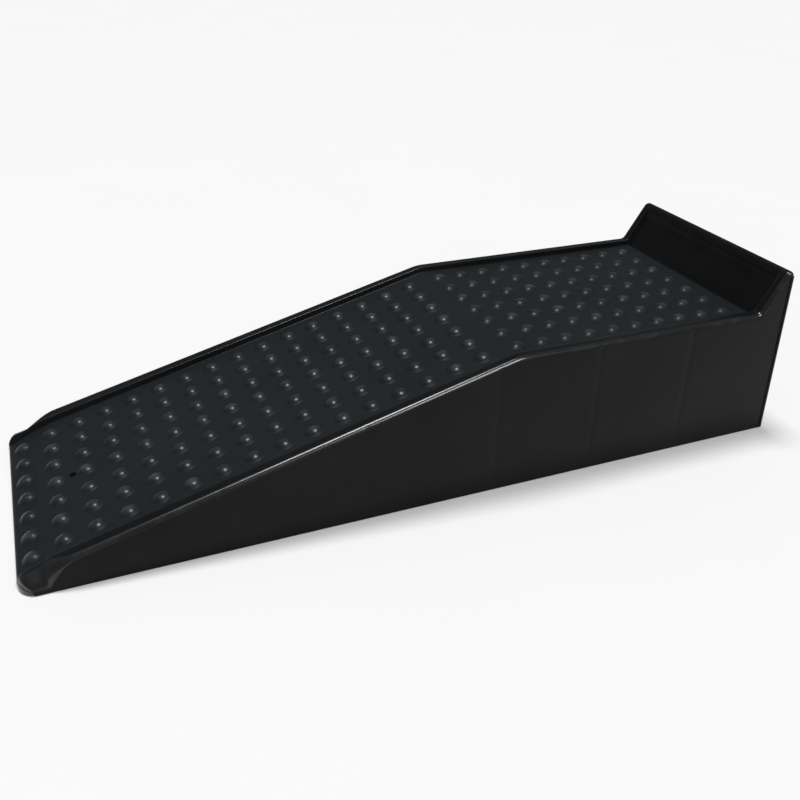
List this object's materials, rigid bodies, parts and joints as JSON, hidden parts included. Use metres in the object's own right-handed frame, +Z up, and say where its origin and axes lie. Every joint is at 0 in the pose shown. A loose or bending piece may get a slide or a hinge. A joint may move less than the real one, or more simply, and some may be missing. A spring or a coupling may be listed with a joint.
{
  "type": "ramp leveler",
  "caption": "Black moulded wheel ramp with a studded incline, flat platform, raised side kerbs, a sloped wheel stop, ribbed underside and rubber feet.",
  "frame": {"origin": "middle of the footprint, on the ground", "axes": "+X runs up the ramp from the nose to the wheel stop, +Y to the left of a driver going up it, +Z up"},
  "size_m": [0.914, 0.2994, 0.216],
  "materials": {
    "ramp_plastic": "injection moulded, fine satin grain",
    "foot_rubber": "matt moulded rubber"
  },
  "bodies": {
    "root": {"cross_rib_1": "ramp_plastic", "cross_rib_2": "ramp_plastic", "cross_rib_3": "ramp_plastic", "cross_rib_4": "ramp_plastic", "cross_rib_5": "ramp_plastic", "cross_rib_6": "ramp_plastic", "front_left_foot_socket": "ramp_plastic", "front_left_rubber_foot": "foot_rubber", "front_right_foot_socket": "ramp_plastic", "front_right_rubber_foot": "foot_rubber", "incline_deck": "ramp_plastic", "incline_studs": "ramp_plastic", "left_inner_spine": "ramp_plastic", "left_kerb": "ramp_plastic", "left_outer_spine": "ramp_plastic", "left_side_wall": "ramp_plastic", "middle_left_foot_socket": "ramp_plastic", "middle_left_rubber_foot": "foot_rubber", "middle_right_foot_socket": "ramp_plastic", "middle_right_rubber_foot": "foot_rubber", "nose_deck": "ramp_plastic", "nose_studs": "ramp_plastic", "nose_wall": "ramp_plastic", "platform_deck": "ramp_plastic", "platform_studs": "ramp_plastic", "rear_left_foot_socket": "ramp_plastic", "rear_left_rubber_foot": "foot_rubber", "rear_right_foot_socket": "ramp_plastic", "rear_right_rubber_foot": "foot_rubber", "rear_wall": "ramp_plastic", "right_inner_spine": "ramp_plastic", "right_kerb": "ramp_plastic", "right_outer_spine": "ramp_plastic", "right_side_wall": "ramp_plastic", "wheel_stop_cap": "ramp_plastic", "wheel_stop_face": "ramp_plastic"}
  },
  "joints": []
}
